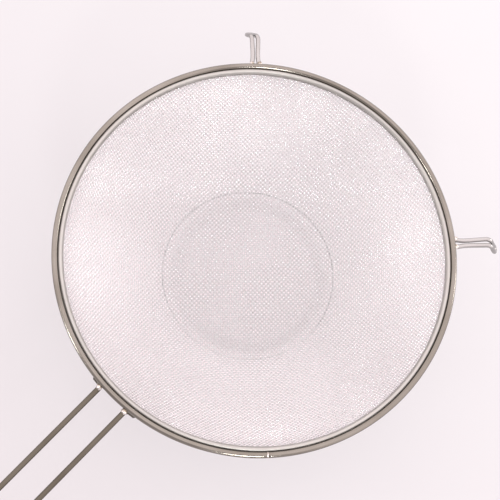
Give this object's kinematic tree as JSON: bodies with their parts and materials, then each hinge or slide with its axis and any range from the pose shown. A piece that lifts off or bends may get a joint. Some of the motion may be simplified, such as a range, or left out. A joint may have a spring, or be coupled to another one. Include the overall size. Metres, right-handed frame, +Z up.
{
  "type": "double sieve strainer",
  "caption": "Round honey sieve: a coarse wire mesh bowl nested in a fine one, with a wire ring, a looped wire handle and hooks that rest on a pail.",
  "frame": {"origin": "centre of the fine bowl's flat base, on its underside, which is what the sieve stands on", "axes": "+Z up out of the bowls' mouths; the handle points along -X, and the hooks stand either side of +X"},
  "size_m": [0.3949, 0.2398, 0.065],
  "materials": {
    "polished_ring": "drawn stainless wire, polished",
    "polished_wire": "drawn stainless wire, polished, with fine draw lines",
    "edge_strip": "thin stainless strip, satin",
    "coarse_mesh": "bright woven stainless wire, about 18 wires to the inch",
    "fine_mesh": "bright woven stainless wire, finer than the coarse bowl's",
    "weld": "small resistance weld, slightly heat tinted"
  },
  "bodies": {
    "fine_sieve": {"fine_mesh": "fine_mesh", "fine_edge_strip": "edge_strip", "ring": "polished_ring", "ring_seam_weld": "weld", "handle": "polished_wire", "handle_weld_left": "weld", "handle_weld_right": "weld", "hook_left": "polished_wire", "hook_left_weld_left": "weld", "hook_left_weld_right": "weld", "hook_right": "polished_wire", "hook_right_weld_left": "weld", "hook_right_weld_right": "weld"},
    "coarse_sieve": {"coarse_mesh": "coarse_mesh", "coarse_edge_strip": "edge_strip"}
  },
  "joints": [
    {"name": "coarse_sieve_lift", "type": "slide", "parent": "fine_sieve", "child": "coarse_sieve", "axis": [0, 0, 1], "range_m": [0, 0.08]}
  ]
}
